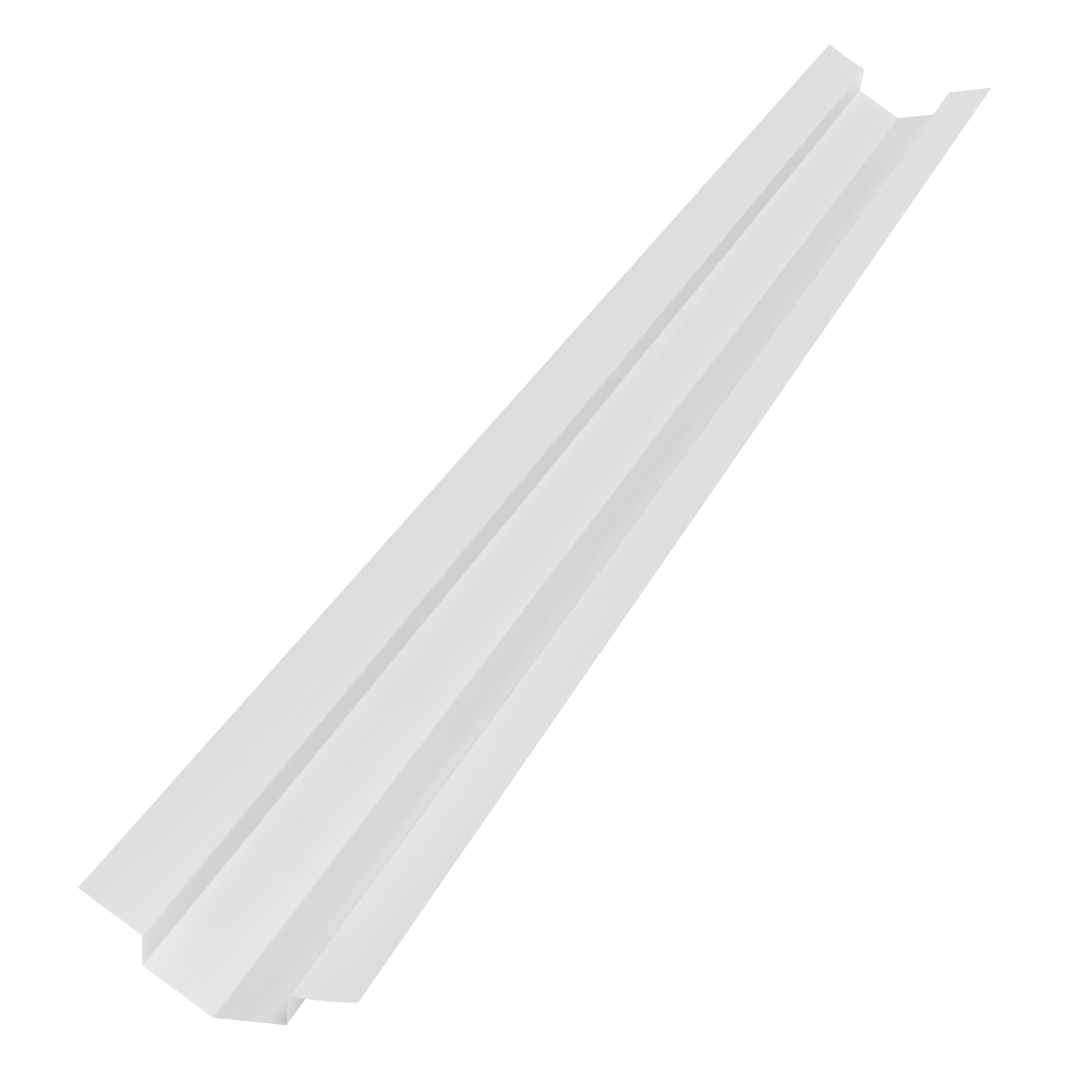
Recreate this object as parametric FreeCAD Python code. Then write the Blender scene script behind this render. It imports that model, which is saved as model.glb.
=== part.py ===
"""Valley gutter flashing: one length of coated steel sheet folded into an open channel.

Two pans slope down to a valley crease. An upstand rises from the outer edge of each pan, and a
wing runs out from the top of each upstand to lie under the roof covering. The length runs along
Y, and the piece lies as it comes to rest on a level floor: on the underside of its right pan.
"""
import FreeCAD, Part
import math
import os

# Driving dimensions in millimetres. Panel widths run between fold lines at mid-thickness.
LENGTH = 3000.0
SHEET_THICKNESS = 0.7
PAN_WIDTH = 105.0
UPSTAND_WIDTH = 50.0
WING_WIDTH = 95.0
INSIDE_BEND_RADIUS = 3.0

# Slopes in degrees above the level, with the channel upright on its valley crease.
PAN_SLOPE = 22.0
UPSTAND_SLOPE = 90.0
WING_SLOPE = 22.0

BEND_RADIUS = INSIDE_BEND_RADIUS + SHEET_THICKNESS / 2


def panels():
    """Width and slope of each flat panel in turn, from the left wing to the right wing."""
    right_half = [(PAN_WIDTH, PAN_SLOPE), (UPSTAND_WIDTH, UPSTAND_SLOPE), (WING_WIDTH, WING_SLOPE)]
    left_half = [(width, -slope) for width, slope in reversed(right_half)]
    return left_half + right_half


def fold_points():
    """Sheet edges and sharp fold points at mid-thickness, tipped over until the right pan is level."""
    points = [FreeCAD.Vector(0, 0, 0)]
    for width, slope in panels():
        angle = math.radians(slope - PAN_SLOPE)
        points.append(points[-1] + FreeCAD.Vector(math.cos(angle), 0, math.sin(angle)) * width)
    return points


def bend(before, fold, after):
    """Arc of one bend, tangent to the panels on both sides of its fold point."""
    arriving = (fold - before).normalize()
    leaving = (after - fold).normalize()
    half_turn = arriving.getAngle(leaving) / 2
    setback = BEND_RADIUS * math.tan(half_turn)
    crown = BEND_RADIUS * (1 / math.cos(half_turn) - 1)
    middle = fold + (leaving - arriving).normalize() * crown
    return Part.Arc(fold - arriving * setback, middle, fold + leaving * setback)


def middle_line():
    """Line of the section at mid-thickness: straight panels joined by the bends."""
    points = fold_points()
    start = points[0]
    edges = []
    for before, fold, after in zip(points, points[1:], points[2:]):
        arc = bend(before, fold, after)
        edges.append(Part.LineSegment(start, arc.StartPoint).toShape())
        edges.append(arc.toShape())
        start = arc.EndPoint
    edges.append(Part.LineSegment(start, points[-1]).toShape())
    return Part.Wire(edges)


def folded_sheet():
    """The whole piece, standing on z = 0 with its box centred on the Z axis."""
    top_line = middle_line().makeOffset2D(SHEET_THICKNESS / 2, openResult=True)
    section = top_line.makeOffset2D(-SHEET_THICKNESS, fill=True, openResult=True)
    sheet = section.extrude(FreeCAD.Vector(0, LENGTH, 0))
    box = sheet.BoundBox
    sheet.translate(FreeCAD.Vector(-box.Center.x, -box.Center.y, -box.ZMin))
    return sheet


os.makedirs("parts", exist_ok=True)
folded_sheet().exportStep("parts/folded_sheet.step")
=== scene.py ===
"""Looks of a valley gutter flashing: one length of coil-coated steel sheet, folded five times.

The sheet is modelled again over its CAD node with round bends, the slight ripple of thin sheet and a shallow
dip across the right wing. Its weather side, its underside and its sheared edges each have a finish of their
own. It lies on a white studio floor.
"""

import logging
import math
import random
from dataclasses import dataclass, replace
from enum import Enum

import bpy
import numpy as np
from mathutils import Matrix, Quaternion, Vector


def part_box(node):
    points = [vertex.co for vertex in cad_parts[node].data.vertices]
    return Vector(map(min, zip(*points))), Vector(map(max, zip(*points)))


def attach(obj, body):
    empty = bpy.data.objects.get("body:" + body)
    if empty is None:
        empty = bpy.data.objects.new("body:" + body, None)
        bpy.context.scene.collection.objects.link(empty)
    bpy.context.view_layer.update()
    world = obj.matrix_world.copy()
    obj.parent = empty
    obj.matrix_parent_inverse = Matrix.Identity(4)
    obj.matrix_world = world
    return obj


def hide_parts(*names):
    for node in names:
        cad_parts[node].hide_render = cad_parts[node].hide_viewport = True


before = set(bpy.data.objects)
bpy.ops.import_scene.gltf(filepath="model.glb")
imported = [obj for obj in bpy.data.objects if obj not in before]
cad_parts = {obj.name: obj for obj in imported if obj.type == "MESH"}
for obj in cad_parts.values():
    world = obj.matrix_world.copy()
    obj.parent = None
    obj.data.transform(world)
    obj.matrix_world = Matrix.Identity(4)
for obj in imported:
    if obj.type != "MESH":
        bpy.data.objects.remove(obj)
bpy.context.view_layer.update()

LOG = logging.getLogger("valley_flashing")
MM = 0.001
# The sRGB curve is a straight toe up to a knee, and a power above it.
SRGB_KNEE = 0.04045
SRGB_TOE = 12.92
SRGB_OFFSET = 0.055
SRGB_POWER = 2.4
# Noise seldom leaves this range, so a pattern runs from one end of its contrast to the other inside it.
PATTERN_LOW = 0.3
PATTERN_HIGH = 0.7
Colour = tuple[float, float, float, float]
Place = tuple[float, float, float]


class Surface(Enum):
    """The sheet's three kinds of surface, by material slot."""

    WEATHER_SIDE = 0
    UNDERSIDE = 1
    CUT_EDGE = 2


def linear(hex_colour: str) -> Colour:
    """Turns an sRGB hex colour into a linear one.

    Args:
        hex_colour: Colour written as #RRGGBB.

    Returns:
        Linear red, green and blue, and an alpha of one.
    """
    channels = [byte / 255 for byte in bytes.fromhex(hex_colour.lstrip("#"))]
    red, green, blue = [
        c / SRGB_TOE if c <= SRGB_KNEE else ((c + SRGB_OFFSET) / (1 + SRGB_OFFSET)) ** SRGB_POWER
        for c in channels
    ]
    return red, green, blue, 1.0


def per_metre(spacing_mm: float) -> float:
    """Gives a noise scale whose features are the given millimetres apart."""
    return 1000.0 / spacing_mm


def add_node(
    tree: bpy.types.NodeTree,
    kind: str,
    settings: dict[str, object] | None = None,
    links: dict[str, bpy.types.NodeSocket] | None = None,
) -> bpy.types.Node:
    """Adds one node with its settings and links.

    Args:
        tree: Node tree that takes the node.
        kind: Blender's name for the type of node.
        settings: Values by property name, or by input name.
        links: Output sockets by the name of the input that each one feeds.

    Returns:
        The new node.
    """
    node = tree.nodes.new(kind)
    for name, value in (settings or {}).items():
        if hasattr(node, name):
            setattr(node, name, value)
        else:
            node.inputs[name].default_value = value
    for name, socket in (links or {}).items():
        tree.links.new(socket, node.inputs[name])
    return node


def empty_material(name: str) -> tuple[bpy.types.Material, bpy.types.NodeTree]:
    """Makes a material with no nodes in it.

    Args:
        name: Name of the real material and its finish.

    Returns:
        The material and its node tree.
    """
    material = bpy.data.materials.new(name)
    material.use_nodes = True
    material.node_tree.nodes.clear()
    return material, material.node_tree


def seen_directly(tree: bpy.types.NodeTree) -> bpy.types.NodeSocket:
    """Adds a switch that is one for what the camera, a reflection or a see-through surface shows.

    Args:
        tree: Node tree that takes the nodes.

    Returns:
        The switch's output.
    """
    path = add_node(tree, "ShaderNodeLightPath")
    either = add_node(tree, "ShaderNodeMath", {"operation": "MAXIMUM"})
    tree.links.new(path.outputs["Is Camera Ray"], either.inputs[0])
    tree.links.new(path.outputs["Is Glossy Ray"], either.inputs[1])
    any_of = add_node(tree, "ShaderNodeMath", {"operation": "MAXIMUM"})
    tree.links.new(either.outputs["Value"], any_of.inputs[0])
    tree.links.new(path.outputs["Is Transmission Ray"], any_of.inputs[1])
    return any_of.outputs["Value"]


@dataclass(frozen=True)
class PolyesterTopCoat:
    """White polyester coil coat, rolled on to the flat strip and baked before the strip was folded."""

    # To the eye: an even satin white, with soft reflections, faint streaks along the length where the coating
    # roller ran, and a fine orange peel.
    name: str = "polyester_coil_coat_white"
    thick_film: str = "#E4E4E4"
    thin_film: str = "#E2E2E2"
    ior: float = 1.5
    smoothest: float = 0.36
    roughest: float = 0.41
    # The roller's streaks are about 1 mm wide, drawn at 7 mm so that they show on a sheet 3 m long. The
    # pattern is stretched along the length, so that each streak runs on for over half a metre.
    streak_mm: float = 7.0
    streak_stretch: float = 0.012
    streak_detail: float = 3.0
    # Orange peel is 1 to 2 mm across, drawn at 9 mm for the same reason.
    peel_mm: float = 9.0
    peel_depth_mm: float = 0.02

    def build(self) -> bpy.types.Material:
        """Builds the material from its streaks and its orange peel.

        Returns:
            The material.
        """
        material, tree = empty_material(self.name)
        place = add_node(tree, "ShaderNodeTexCoord").outputs["Object"]
        along = add_node(
            tree,
            "ShaderNodeMapping",
            {"Scale": (1.0, self.streak_stretch, 1.0)},
            {"Vector": place},
        )
        streak = add_node(
            tree,
            "ShaderNodeTexNoise",
            {"Scale": per_metre(self.streak_mm), "Detail": self.streak_detail},
            {"Vector": along.outputs["Vector"]},
        )
        peel = add_node(
            tree,
            "ShaderNodeTexNoise",
            {"Scale": per_metre(self.peel_mm)},
            {"Vector": place},
        )
        film = add_node(tree, "ShaderNodeValToRGB", links={"Fac": streak.outputs["Fac"]})
        thin, thick = film.color_ramp.elements
        thin.position, thin.color = PATTERN_LOW, linear(self.thin_film)
        thick.position, thick.color = PATTERN_HIGH, linear(self.thick_film)
        gloss = add_node(
            tree,
            "ShaderNodeMapRange",
            {
                "From Min": PATTERN_LOW,
                "From Max": PATTERN_HIGH,
                "To Min": self.smoothest,
                "To Max": self.roughest,
            },
            {"Value": streak.outputs["Fac"]},
        )
        bump = add_node(
            tree,
            "ShaderNodeBump",
            {"Strength": 1.0, "Distance": self.peel_depth_mm * MM},
            {"Height": peel.outputs["Fac"]},
        )
        shader = add_node(
            tree,
            "ShaderNodeBsdfPrincipled",
            {"IOR": self.ior},
            {
                "Base Color": film.outputs["Color"],
                "Roughness": gloss.outputs["Result"],
                "Normal": bump.outputs["Normal"],
            },
        )
        add_node(tree, "ShaderNodeOutputMaterial", links={"Surface": shader.outputs["BSDF"]})
        return material


@dataclass(frozen=True)
class EpoxyBackingCoat:
    """Pale grey epoxy backing coat, rolled only a few microns thick on the underside of the strip."""

    # To the eye: flatter and duller than the weather side, with the faint clouds of a film that barely hides
    # its primer, and a slight grain.
    name: str = "epoxy_backing_coat_pale_grey"
    thick_film: str = "#E1E1DF"
    thin_film: str = "#DBDBD9"
    ior: float = 1.5
    smoothest: float = 0.5
    roughest: float = 0.6
    # The clouds are some 60 mm across, and show as they are.
    cloud_mm: float = 60.0
    cloud_detail: float = 5.0
    # The film's grain is under 1 mm across, drawn at 8 mm so that it shows.
    grain_mm: float = 8.0
    grain_depth_mm: float = 0.02

    def build(self) -> bpy.types.Material:
        """Builds the material from its clouds and its grain.

        Returns:
            The material.
        """
        material, tree = empty_material(self.name)
        place = add_node(tree, "ShaderNodeTexCoord").outputs["Object"]
        cloud = add_node(
            tree,
            "ShaderNodeTexNoise",
            {"Scale": per_metre(self.cloud_mm), "Detail": self.cloud_detail},
            {"Vector": place},
        )
        grain = add_node(
            tree,
            "ShaderNodeTexNoise",
            {"Scale": per_metre(self.grain_mm)},
            {"Vector": place},
        )
        film = add_node(tree, "ShaderNodeValToRGB", links={"Fac": cloud.outputs["Fac"]})
        thin, thick = film.color_ramp.elements
        thin.position, thin.color = PATTERN_LOW, linear(self.thin_film)
        thick.position, thick.color = PATTERN_HIGH, linear(self.thick_film)
        gloss = add_node(
            tree,
            "ShaderNodeMapRange",
            {
                "From Min": PATTERN_LOW,
                "From Max": PATTERN_HIGH,
                "To Min": self.smoothest,
                "To Max": self.roughest,
            },
            {"Value": cloud.outputs["Fac"]},
        )
        bump = add_node(
            tree,
            "ShaderNodeBump",
            {"Strength": 1.0, "Distance": self.grain_depth_mm * MM},
            {"Height": grain.outputs["Fac"]},
        )
        shader = add_node(
            tree,
            "ShaderNodeBsdfPrincipled",
            {"IOR": self.ior},
            {
                "Base Color": film.outputs["Color"],
                "Roughness": gloss.outputs["Result"],
                "Normal": bump.outputs["Normal"],
            },
        )
        add_node(tree, "ShaderNodeOutputMaterial", links={"Surface": shader.outputs["BSDF"]})
        return material


@dataclass(frozen=True)
class ShearedZincEdge:
    """Bare galvanised steel, where the strip was sheared to width and to length."""

    # To the eye: a bright thin line that glints unevenly, because the blade leaves a burnished band and a
    # dull torn one.
    name: str = "galvanised_steel_sheared"
    burnished: str = "#DCDEDF"
    torn: str = "#C6C9CA"
    smoothest: float = 0.35
    roughest: float = 0.6
    # Tears are a few tenths of a millimetre apart, drawn at 6 mm so that the glint breaks up along the edge.
    tear_mm: float = 6.0
    tear_detail: float = 4.0

    def build(self) -> bpy.types.Material:
        """Builds the material from its burnished and torn lengths.

        Returns:
            The material.
        """
        material, tree = empty_material(self.name)
        place = add_node(tree, "ShaderNodeTexCoord").outputs["Object"]
        tear = add_node(
            tree,
            "ShaderNodeTexNoise",
            {"Scale": per_metre(self.tear_mm), "Detail": self.tear_detail},
            {"Vector": place},
        )
        metal = add_node(tree, "ShaderNodeValToRGB", links={"Fac": tear.outputs["Fac"]})
        bright, dull = metal.color_ramp.elements
        bright.position, bright.color = PATTERN_LOW, linear(self.burnished)
        dull.position, dull.color = PATTERN_HIGH, linear(self.torn)
        gloss = add_node(
            tree,
            "ShaderNodeMapRange",
            {
                "From Min": PATTERN_LOW,
                "From Max": PATTERN_HIGH,
                "To Min": self.smoothest,
                "To Max": self.roughest,
            },
            {"Value": tear.outputs["Fac"]},
        )
        shader = add_node(
            tree,
            "ShaderNodeBsdfPrincipled",
            {"Metallic": 1.0},
            {"Base Color": metal.outputs["Color"], "Roughness": gloss.outputs["Result"]},
        )
        add_node(tree, "ShaderNodeOutputMaterial", links={"Surface": shader.outputs["BSDF"]})
        return material


@dataclass(frozen=True)
class Panel:
    """One flat panel of the folded sheet, seen in section.

    Attributes:
        width: Distance between its fold lines at mid-thickness.
        heading: Angle of its run from left to right, in degrees above the floor.
        ripple: Largest rise of its ripple off the flat.
        only_up: Whether it ripples to one side alone, as where it lies on the floor.
        dip: How far its middle sags at the near end.
    """

    width: float
    heading: float
    ripple: float
    only_up: bool = False
    dip: float = 0.0


@dataclass(frozen=True)
class Section:
    """The section's mid-thickness line as arrays, one row for each point from left to right.

    Attributes:
        places: X and Z of each point.
        normals: X and Z of the weather side's normal there.
        panels: Index of the panel that each point is on, or -1 in a bend.
        shares: How far across its panel each point is, from 0 at the left to 1 at the right, or 0 in a bend.
    """

    places: np.ndarray
    normals: np.ndarray
    panels: np.ndarray
    shares: np.ndarray


@dataclass
class FoldedSheet:
    """The flashing: one sheet of coated steel folded into two wings, two upstands and two pans.

    Widths run between fold lines at mid-thickness, in metres. Slopes are in degrees above the level with the
    channel upright. The sheet lies on its right pan.

    Attributes:
        node: CAD node that the sheet takes the place of.
        body: Body that it rides on.
        slot: Material slot of that node; not used.
        name: Name of the piece.
        thickness: Thickness of the coated sheet.
        pan_width: Width of each pan, from the crease to the foot of its upstand.
        upstand_width: Width of each upstand.
        wing_width: Width of each wing, out to its free edge.
        inside_bend_radius: Radius of the inner face in each bend.
        pan_slope: Slope of the pans.
        upstand_slope: Slope of the upstands.
        wing_slope: Slope of the wings.
        wing_ripple: Largest rise of the wings' ripple.
        pan_ripple: Largest rise of the pans' ripple.
        upstand_ripple: Largest rise of the upstands' ripple.
        wing_dip: Depth of the dip across the right wing at the near end.
        dip_reach: Distance along the length over which the dip fades.
        ripple_lengths: Lengths of the waves that add up to the ripple.
        ripple_seed: Seed for where the waves start.
        bend_steps: Number of steps round each bend.
        panel_strips: Number of even strips across each flat.
        guard_strip: Width of the narrow strip beside each bend.
        row_spacing: Distance between rows of points along the length.
        size_tolerance: Largest difference allowed between the section and the CAD node.
        sharp_angle: Angle between faces above which an edge stays sharp, in degrees.
    """

    node: str = "folded_sheet"
    body: str = "root"
    slot: str = "coated_steel"
    name: str = "folded_sheet_finish"
    thickness: float = 0.7 * MM
    pan_width: float = 105 * MM
    upstand_width: float = 50 * MM
    wing_width: float = 95 * MM
    inside_bend_radius: float = 3 * MM
    pan_slope: float = 22.0
    upstand_slope: float = 90.0
    wing_slope: float = 22.0
    wing_ripple: float = 0.5 * MM
    pan_ripple: float = 0.35 * MM
    upstand_ripple: float = 0.1 * MM
    wing_dip: float = 3.0 * MM
    dip_reach: float = 1.1
    ripple_lengths: tuple[float, ...] = (0.93, 0.57, 0.31)
    ripple_seed: int = 7
    bend_steps: int = 10
    panel_strips: int = 8
    guard_strip: float = 1.5 * MM
    row_spacing: float = 40 * MM
    size_tolerance: float = 0.2 * MM
    sharp_angle: float = 40.0

    def panels(self) -> list[Panel]:
        """Lists the panels as the sheet lies on the floor.

        Returns:
            The panels from the left wing to the right wing.
        """
        tip = self.pan_slope
        return [
            Panel(self.wing_width, -self.wing_slope - tip, self.wing_ripple),
            Panel(self.upstand_width, -self.upstand_slope - tip, self.upstand_ripple),
            Panel(self.pan_width, -self.pan_slope - tip, self.pan_ripple),
            Panel(self.pan_width, self.pan_slope - tip, self.pan_ripple, only_up=True),
            Panel(self.upstand_width, self.upstand_slope - tip, self.upstand_ripple),
            Panel(self.wing_width, self.wing_slope - tip, self.wing_ripple, dip=self.wing_dip),
        ]

    def strips_across(self, flat: float) -> np.ndarray:
        """Spaces points across a flat, with a narrow strip at each end that holds the bends' shading."""
        even = np.linspace(0, flat, self.panel_strips + 1)[1:-1]
        return np.array([0, self.guard_strip, *even, flat - self.guard_strip, flat])

    def section(self) -> Section:
        """Walks along the section at mid-thickness, panel by panel and bend by bend.

        Returns:
            The section's points, placed in the CAD node's box.
        """
        panels = self.panels()
        radius = self.inside_bend_radius + self.thickness / 2
        turns = [math.radians(b.heading - a.heading) for a, b in zip(panels, panels[1:])]
        setbacks = [0.0, *[radius * math.tan(abs(turn) / 2) for turn in turns], 0.0]
        places, normals, owners, shares = [], [], [], []
        here = np.zeros(2)
        for index, panel in enumerate(panels):
            angle = math.radians(panel.heading)
            ahead = np.array([math.cos(angle), math.sin(angle)])
            flat = panel.width - setbacks[index] - setbacks[index + 1]
            for reach in self.strips_across(flat):
                places.append(here + ahead * reach)
                normals.append(np.array([-ahead[1], ahead[0]]))
                owners.append(index)
                shares.append(reach / flat)
            here = here + ahead * flat
            if index == len(turns):
                break
            side = math.copysign(1.0, turns[index])
            centre = here + side * radius * normals[-1]
            for step in range(1, self.bend_steps):
                bent = angle + turns[index] * step / self.bend_steps
                normal = np.array([-math.sin(bent), math.cos(bent)])
                places.append(centre - side * radius * normal)
                normals.append(normal)
                owners.append(-1)
                shares.append(0.0)
            end = angle + turns[index]
            here = centre - side * radius * np.array([-math.sin(end), math.cos(end)])
        columns = (places, normals, owners, shares)
        return self.seated(Section(*[np.array(column) for column in columns]))

    def seated(self, section: Section) -> Section:
        """Moves the section into the CAD node's box, and stops if it isn't the same size.

        Args:
            section: The section, walked from any start.

        Returns:
            The section in the frame's own place.
        """
        low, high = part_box(self.node)
        skins = np.concatenate(
            [section.places + side * self.thickness / 2 * section.normals for side in (-1, 1)]
        )
        found = skins.max(axis=0) - skins.min(axis=0)
        wanted = np.array([high.x - low.x, high.z - low.z])
        if np.abs(found - wanted).max() > self.size_tolerance:
            raise ValueError(f"the section measures {found}, and the CAD node {wanted}")
        shift = np.array([low.x, low.z]) - skins.min(axis=0)
        return replace(section, places=section.places + shift)

    def ripple(self, section: Section, rows: np.ndarray) -> np.ndarray:
        """Works out how far the sheet ripples and dips off the flat, between straight edges and folds.

        Args:
            section: The section's points.
            rows: Y of each row of points along the length.

        Returns:
            Rise along the normal, one row for each section point and one column for each Y.
        """
        draw = random.Random(self.ripple_seed)
        fade = np.exp(-((rows - rows[0]) / self.dip_reach) ** 2)
        rise = np.zeros((len(section.places), len(rows)))
        for index, panel in enumerate(self.panels()):
            wave = np.zeros(len(rows))
            for length in self.ripple_lengths:
                wave += np.sin(2 * math.pi * (rows / length + draw.random())) / len(self.ripple_lengths)
            if panel.only_up:
                wave = (wave + 1) / 2
            mine = section.panels == index
            slack = np.sin(math.pi * section.shares[mine])
            rise[mine] = np.outer(slack, panel.ripple * wave - panel.dip * fade)
        return rise

    def rows(self) -> np.ndarray:
        """Spaces the rows of points along the length.

        Returns:
            Y of each row, from the near end to the far end.
        """
        low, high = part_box(self.node)
        count = round((high.y - low.y) / self.row_spacing)
        return np.linspace(low.y, high.y, count + 1)

    def skin(self, section: Section, rows: np.ndarray, side: int) -> np.ndarray:
        """Places the points of one side of the sheet.

        Args:
            section: The section's points.
            rows: Y of each row of points along the length.
            side: 1 for the weather side and -1 for the underside.

        Returns:
            X, Y and Z of each point, in the order of the section and then of the rows.
        """
        off = side * self.thickness / 2 + self.ripple(section, rows)
        across = section.places[:, None, :] + off[:, :, None] * section.normals[:, None, :]
        along = np.broadcast_to(rows, off.shape)
        return np.stack([across[..., 0], along, across[..., 1]], axis=-1).reshape(-1, 3)

    @staticmethod
    def patches(across: int, along: int) -> list[tuple[Surface, np.ndarray]]:
        """Lists the faces of the closed sheet, patch by patch.

        Args:
            across: Number of points across the section.
            along: Number of rows along the length.

        Returns:
            Each patch's surface and its four-sided faces, by point number.
        """
        top = np.arange(across * along).reshape(across, along)
        under = top + across * along
        corners = [
            (Surface.WEATHER_SIDE, (top[:-1, :-1], top[1:, :-1], top[1:, 1:], top[:-1, 1:])),
            (Surface.UNDERSIDE, (under[:-1, :-1], under[:-1, 1:], under[1:, 1:], under[1:, :-1])),
            (Surface.CUT_EDGE, (top[0, :-1], top[0, 1:], under[0, 1:], under[0, :-1])),
            (Surface.CUT_EDGE, (top[-1, :-1], under[-1, :-1], under[-1, 1:], top[-1, 1:])),
            (Surface.CUT_EDGE, (top[:-1, 0], under[:-1, 0], under[1:, 0], top[1:, 0])),
            (Surface.CUT_EDGE, (top[:-1, -1], top[1:, -1], under[1:, -1], under[:-1, -1])),
        ]
        return [(surface, np.stack([c.ravel() for c in four], axis=-1)) for surface, four in corners]

    def build(self) -> bpy.types.Object:
        """Builds the closed mesh of the sheet.

        Returns:
            The sheet's object, linked to the scene.
        """
        section = self.section()
        rows = self.rows()
        points = np.concatenate([self.skin(section, rows, side) for side in (1, -1)])
        patches = self.patches(len(section.places), len(rows))
        faces = np.concatenate([patch for _, patch in patches])
        slots = np.concatenate([np.full(len(patch), surface.value) for surface, patch in patches])
        mesh = bpy.data.meshes.new(self.name)
        mesh.from_pydata(points.tolist(), [], faces.tolist())
        mesh.polygons.foreach_set("material_index", slots.astype(np.int32))
        mesh.shade_smooth()
        mesh.set_sharp_from_angle(angle=math.radians(self.sharp_angle))
        mesh.update()
        piece = bpy.data.objects.new(self.name, mesh)
        bpy.context.scene.collection.objects.link(piece)
        return piece

    def dress(self, piece: bpy.types.Object) -> None:
        """Gives the piece its finishes, and puts it in place of its CAD node.

        Args:
            piece: The sheet's object.
        """
        finishes = {
            Surface.WEATHER_SIDE: PolyesterTopCoat(),
            Surface.UNDERSIDE: EpoxyBackingCoat(),
            Surface.CUT_EDGE: ShearedZincEdge(),
        }
        for surface in Surface:
            piece.data.materials.append(finishes[surface].build())
        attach(piece, self.body)
        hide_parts(self.node)


@dataclass(frozen=True)
class Softbox:
    """One soft studio lamp, hidden from the camera.

    Attributes:
        name: Where it stands.
        place: Its middle.
        aim: The point that it faces.
        width: Its size across.
        height: Its size up and down.
        power: Its output in watts.
        spread: How wide its beam fans out, in degrees.
    """

    name: str
    place: Place
    aim: Place
    width: float
    height: float
    power: float
    spread: float = 180.0

    def build(self) -> None:
        """Hangs the lamp in the scene."""
        lamp = bpy.data.lights.new(self.name, "AREA")
        lamp.shape = "RECTANGLE"
        lamp.size = self.width
        lamp.size_y = self.height
        lamp.energy = self.power
        lamp.spread = math.radians(self.spread)
        holder = bpy.data.objects.new(self.name, lamp)
        holder.location = self.place
        holder.rotation_mode = "QUATERNION"
        holder.rotation_quaternion = (Vector(self.aim) - Vector(self.place)).to_track_quat("-Z", "Y")
        holder.visible_camera = False
        bpy.context.scene.collection.objects.link(holder)


@dataclass(frozen=True)
class PhotoCamera:
    """The camera at the photograph's viewing angle.

    Attributes:
        name: Name of the camera.
        aim: The point in the middle of its view.
        azimuth: Angle round from the near end towards the right, in degrees.
        elevation: Angle above the floor, in degrees.
        roll: Turn about its own line of sight, in degrees.
        distance: From the camera to the aim.
        lens: Focal length in millimetres.
    """

    name: str = "photo_camera"
    aim: Place = (-0.1999, -0.2202, -0.0816)
    azimuth: float = 31.013
    elevation: float = 26.016
    roll: float = -15.689
    distance: float = 3.7682
    lens: float = 74.96

    def build(self) -> None:
        """Stands the camera in the scene and looks through it."""
        azimuth = math.radians(self.azimuth)
        elevation = math.radians(self.elevation)
        level_reach = math.cos(elevation)
        back = Vector(
            (math.sin(azimuth) * level_reach, -math.cos(azimuth) * level_reach, math.sin(elevation))
        )
        data = bpy.data.cameras.new(self.name)
        data.lens = self.lens
        camera = bpy.data.objects.new(self.name, data)
        camera.location = Vector(self.aim) + back * self.distance
        camera.rotation_mode = "QUATERNION"
        upright = (-back).to_track_quat("-Z", "Y")
        camera.rotation_quaternion = upright @ Quaternion((0, 0, 1), math.radians(self.roll))
        bpy.context.scene.collection.objects.link(camera)
        bpy.context.scene.camera = camera


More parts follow.
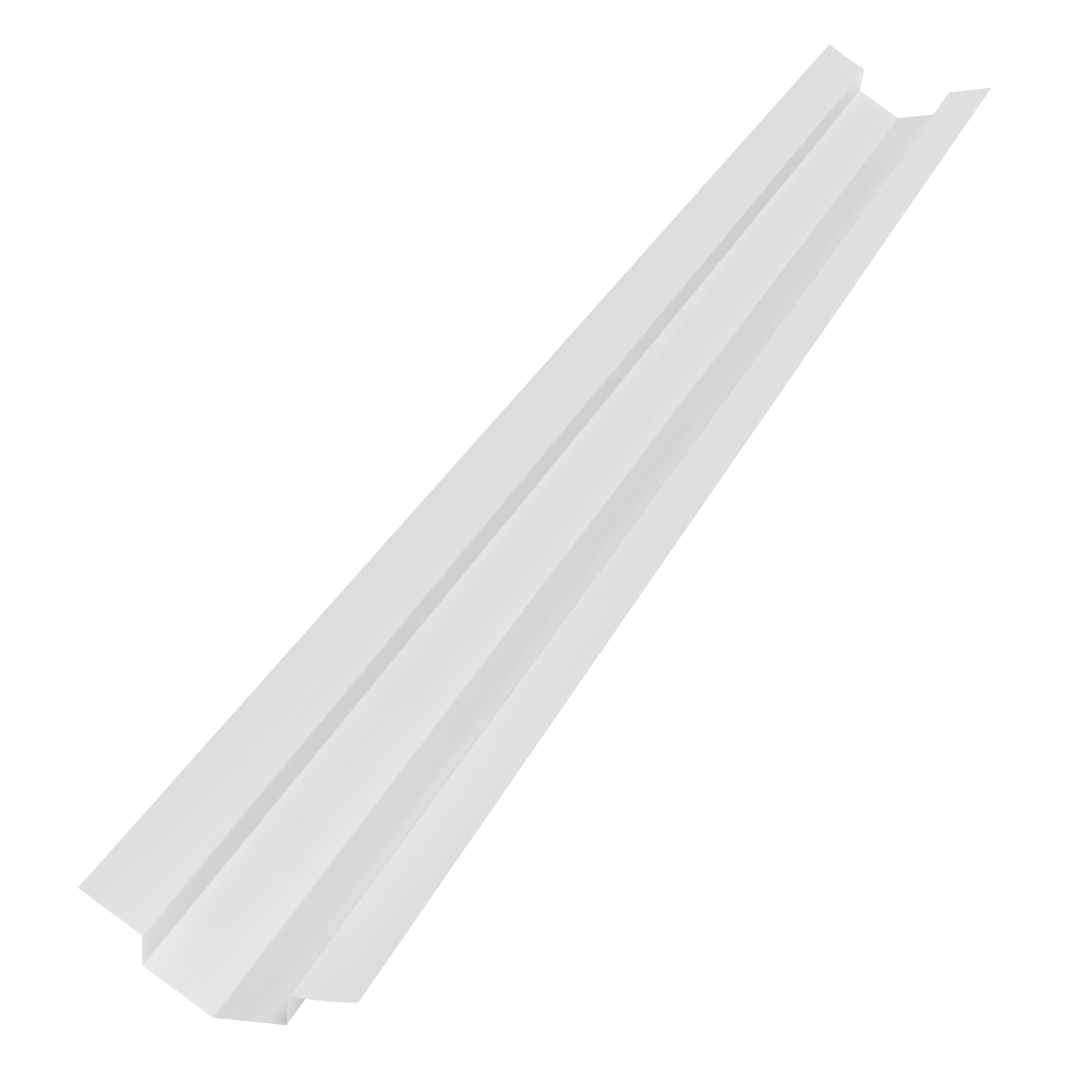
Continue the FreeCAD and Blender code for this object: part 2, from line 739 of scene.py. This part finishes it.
@dataclass(frozen=True)
class PaperFloor:
    """Matt white backdrop paper, unrolled under the sheet on a light table.

    Attributes:
        name: Name of its material.
        size: Length of each side.
        drop: How far it lies below the sheet.
        paper: Colour that it throws back on to the sheet.
        table_light: What the table sends up through it on to the sheet.
        shadow_depth: Colour that answers to the lamps where the floor is seen, so that shadows show.
        glow: What it adds to that near the sheet, where white is 1.
        far_glow: What it adds far off, where it shows plain white.
        fade_across: Distance at which its fade ends, to the left and right.
        fade_along: Distance at which its fade ends, beyond the sheet's ends.
        fade_start: Share of those distances, counted inwards from their end, at which it glows its most.
        fade_stop: Share of them, counted the same way, at which it glows its least.
    """

    # To the eye: plain white with no grain, and a pale soft shadow beside the sheet.
    name: str = "white_backdrop_paper"
    size: float = 60.0
    drop: float = 0.5 * MM
    paper: str = "#F2F2F2"
    table_light: float = 0.38
    shadow_depth: str = "#838383"
    glow: float = 0.9
    far_glow: float = 1.0
    fade_across: float = 3.0
    fade_along: float = 5.0
    fade_start: float = 0.2
    fade_stop: float = 0.7

    def material(self) -> bpy.types.Material:
        """Builds the paper, which shows white with a pale shadow from above and is clear from below.

        Returns:
            The material.
        """
        material, tree = empty_material(self.name)
        paper = add_node(tree, "ShaderNodeBsdfDiffuse", {"Color": linear(self.paper)})
        table = add_node(tree, "ShaderNodeEmission", {"Strength": self.table_light})
        lit = add_node(tree, "ShaderNodeAddShader")
        tree.links.new(paper.outputs["BSDF"], lit.inputs[0])
        tree.links.new(table.outputs["Emission"], lit.inputs[1])
        place = add_node(tree, "ShaderNodeTexCoord").outputs["Object"]
        shrunk = add_node(
            tree,
            "ShaderNodeMapping",
            {"Scale": (1 / self.fade_across, 1 / self.fade_along, 1.0)},
            {"Vector": place},
        )
        nearness = add_node(
            tree,
            "ShaderNodeTexGradient",
            {"gradient_type": "SPHERICAL"},
            {"Vector": shrunk.outputs["Vector"]},
        )
        strength = add_node(
            tree,
            "ShaderNodeMapRange",
            {
                "From Min": self.fade_start,
                "From Max": self.fade_stop,
                "To Min": self.far_glow,
                "To Max": self.glow,
            },
            {"Value": nearness.outputs["Fac"]},
        )
        shaded = add_node(tree, "ShaderNodeBsdfDiffuse", {"Color": linear(self.shadow_depth)})
        glow = add_node(tree, "ShaderNodeEmission", links={"Strength": strength.outputs["Result"]})
        seen = add_node(tree, "ShaderNodeAddShader")
        tree.links.new(shaded.outputs["BSDF"], seen.inputs[0])
        tree.links.new(glow.outputs["Emission"], seen.inputs[1])
        above = add_node(tree, "ShaderNodeMixShader", links={"Fac": seen_directly(tree)})
        tree.links.new(lit.outputs["Shader"], above.inputs[1])
        tree.links.new(seen.outputs["Shader"], above.inputs[2])
        side = add_node(tree, "ShaderNodeNewGeometry")
        clear = add_node(tree, "ShaderNodeBsdfTransparent")
        both = add_node(tree, "ShaderNodeMixShader", links={"Fac": side.outputs["Backfacing"]})
        tree.links.new(above.outputs["Shader"], both.inputs[1])
        tree.links.new(clear.outputs["BSDF"], both.inputs[2])
        add_node(tree, "ShaderNodeOutputMaterial", links={"Surface": both.outputs["Shader"]})
        return material

    def build(self) -> None:
        """Lays the floor just under the sheet."""
        half = self.size / 2
        corners = [(-half, -half, 0), (half, -half, 0), (half, half, 0), (-half, half, 0)]
        mesh = bpy.data.meshes.new("studio_floor")
        mesh.from_pydata(corners, [], [(0, 1, 2, 3)])
        mesh.materials.append(self.material())
        floor = bpy.data.objects.new("studio_floor", mesh)
        floor.location.z = -self.drop
        bpy.context.scene.collection.objects.link(floor)


@dataclass(frozen=True)
class Studio:
    """White floor, white surround, soft lamps and the camera.

    Attributes:
        surround: Colour of the surround.
        surround_light: Strength of the even light that it throws on the sheet.
        surround_white: Strength at which it is seen, where white is 1.
        strip_length: Length of the strip lamps, which run on past both ends of the sheet.
        wide_grid: Beam of the strip over the channel, in degrees.
        narrow_grid: Beam of the strip on the right bend, in degrees.
        spot_grid: Beam of the spot on the right wing, in degrees.
    """

    surround: str = "#FFFFFF"
    surround_light: float = 0.25
    surround_white: float = 1.0
    strip_length: float = 9.0
    wide_grid: float = 90.0
    narrow_grid: float = 40.0
    spot_grid: float = 15.0

    def softboxes(self) -> list[Softbox]:
        """Lists the studio's lamps: long strips beside the sheet, and a spot off its near end.

        Returns:
            The lamps.
        """
        middle = (0.0, 0.0, 0.05)
        channel = (-0.02, 0.0, 0.02)
        right_bend = (0.077, 0.0, 0.047)
        near_wing = (0.1, -1.1, 0.047)
        return [
            Softbox(
                name="right_low",
                place=(1.98, 0.0, 1.01),
                aim=middle,
                width=self.strip_length,
                height=0.6,
                power=12.5,
            ),
            Softbox(
                name="right_grid",
                place=(0.75, 0.0, 0.94),
                aim=channel,
                width=self.strip_length,
                height=0.4,
                power=15.1,
                spread=self.wide_grid,
            ),
            Softbox(
                name="left_high",
                place=(-0.93, 0.0, 2.04),
                aim=middle,
                width=self.strip_length,
                height=0.6,
                power=10.2,
            ),
            Softbox(
                name="left_grid",
                place=(-0.88, 0.0, 0.89),
                aim=right_bend,
                width=self.strip_length,
                height=0.15,
                power=1.7,
                spread=self.narrow_grid,
            ),
            Softbox(
                name="near_spot",
                place=(-0.25, -3.2, 1.3),
                aim=near_wing,
                width=0.05,
                height=0.6,
                power=0.078,
                spread=self.spot_grid,
            ),
        ]

    def build_surround(self) -> None:
        """Sets a surround that shows white and fills the scene with a little even light."""
        world = bpy.data.worlds.new("white_surround")
        world.use_nodes = True
        tree = world.node_tree
        tree.nodes.clear()
        strength = add_node(
            tree,
            "ShaderNodeMapRange",
            {"To Min": self.surround_light, "To Max": self.surround_white},
            {"Value": seen_directly(tree)},
        )
        light = add_node(
            tree,
            "ShaderNodeBackground",
            {"Color": linear(self.surround)},
            {"Strength": strength.outputs["Result"]},
        )
        add_node(tree, "ShaderNodeOutputWorld", links={"Surface": light.outputs["Background"]})
        bpy.context.scene.world = world

    def build(self) -> None:
        """Sets up the floor, the surround, the lamps and the camera."""
        bpy.context.scene.view_settings.view_transform = "Standard"
        PaperFloor().build()
        self.build_surround()
        for softbox in self.softboxes():
            softbox.build()
            LOG.info("lamp %s: %g W", softbox.name, softbox.power)
        PhotoCamera().build()


def main() -> None:
    """Builds the sheet and its studio in order, and reports each piece."""
    logging.basicConfig(level=logging.INFO, format="%(name)s: %(message)s")
    sheet = FoldedSheet()
    piece = sheet.build()
    sheet.dress(piece)
    LOG.info("%s: %d faces, in place of %s", piece.name, len(piece.data.polygons), sheet.node)
    Studio().build()


if __name__ == "__main__":
    main()
